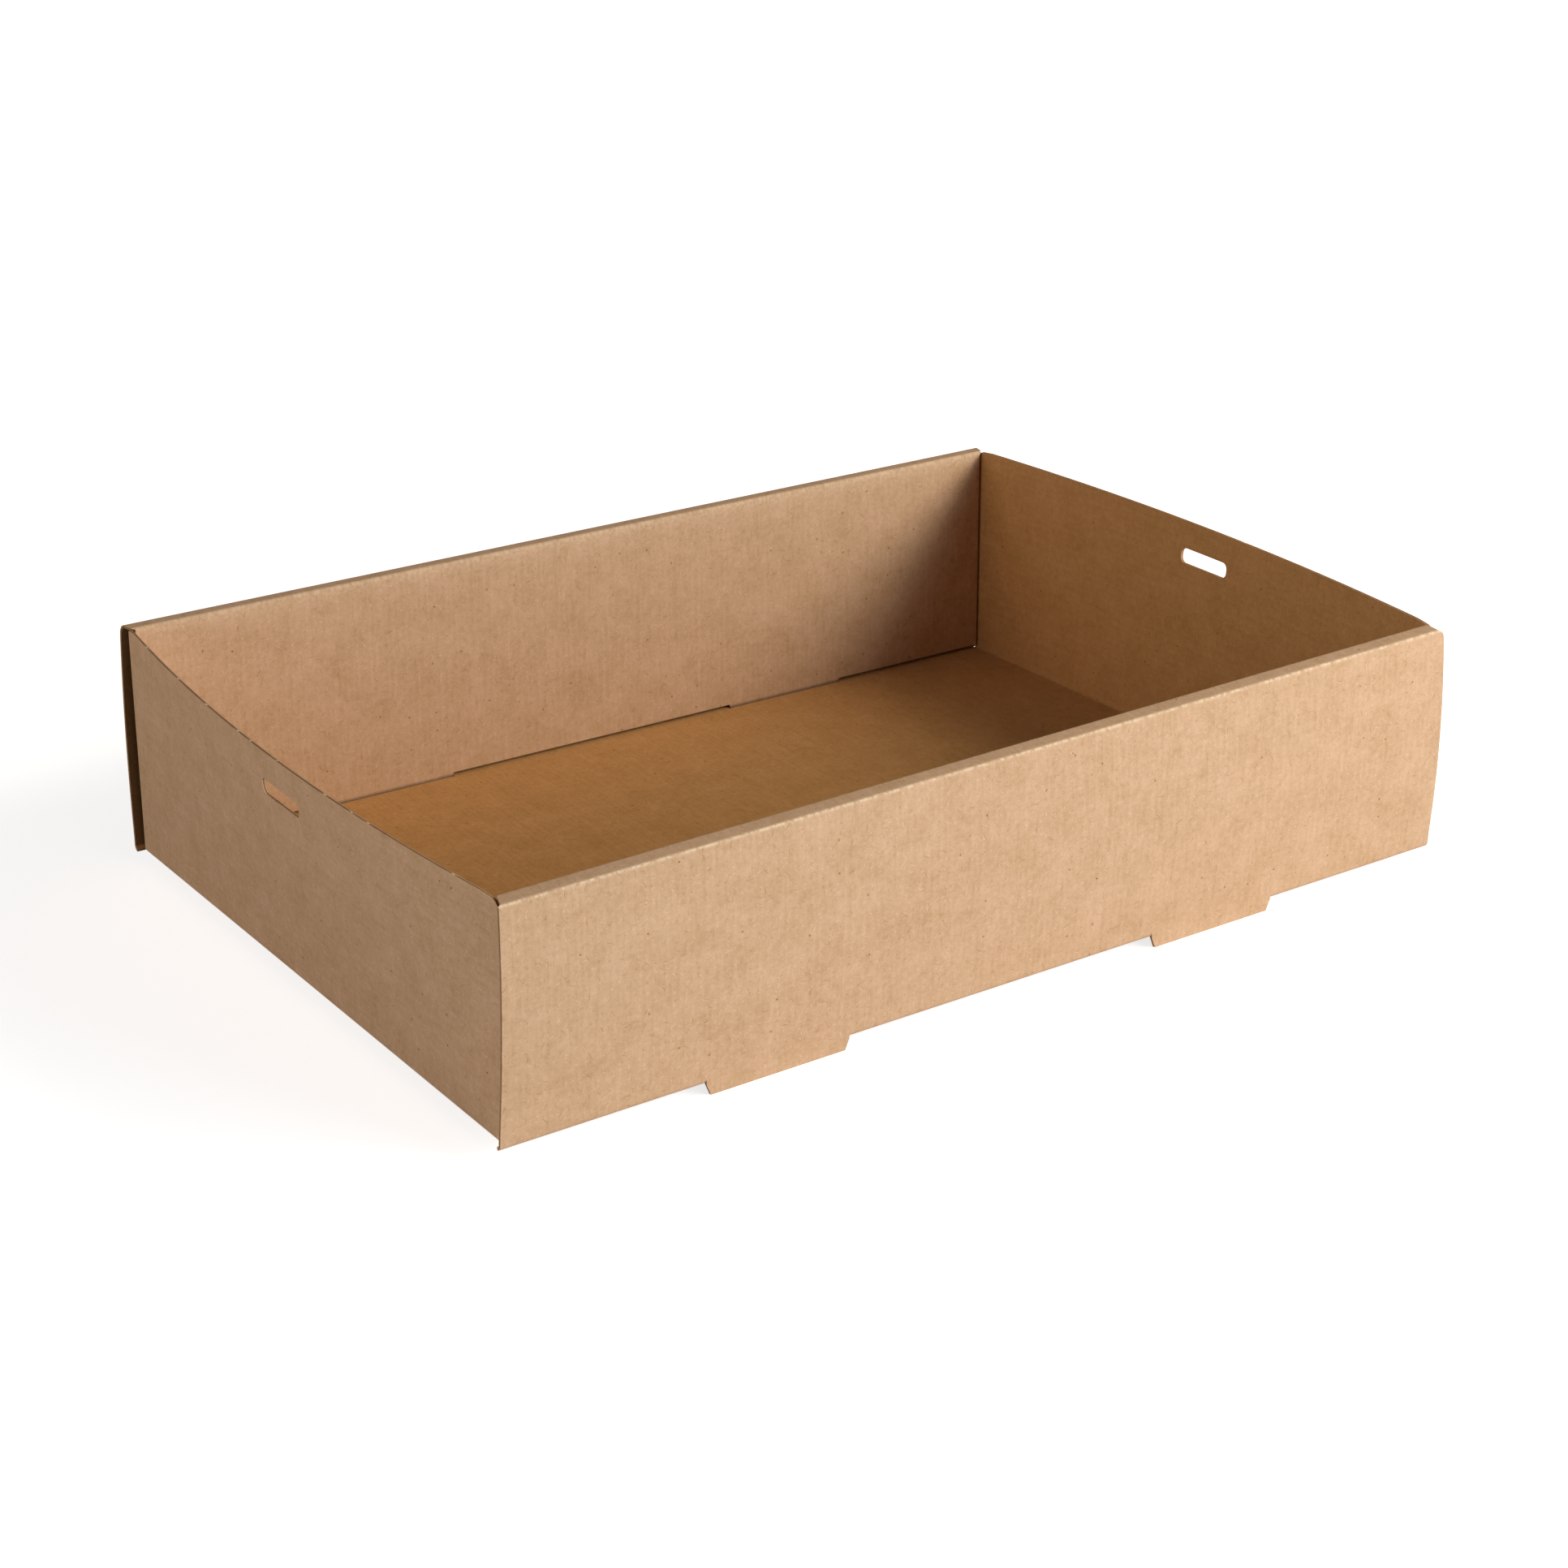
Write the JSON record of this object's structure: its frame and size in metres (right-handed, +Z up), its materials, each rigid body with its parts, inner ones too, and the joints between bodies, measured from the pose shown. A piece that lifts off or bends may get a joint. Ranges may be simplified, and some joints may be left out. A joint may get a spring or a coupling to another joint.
{
  "type": "cardboard tray box",
  "caption": "Open kraft cardboard catering tray folded from a die-cut sheet, with rolled hollow long walls, outward-bowed end walls and rounded lid slots.",
  "frame": {"origin": "middle of the footprint, at the tips of the tongues that the tray stands on", "axes": "+X along the long walls, +Y across the tray towards the back long wall, +Z up"},
  "size_m": [0.3716, 0.2522, 0.0835],
  "materials": {
    "kraft_board": "matte uncoated kraft liner"
  },
  "bodies": {
    "root": {"tray_box": "kraft_board"}
  },
  "joints": []
}
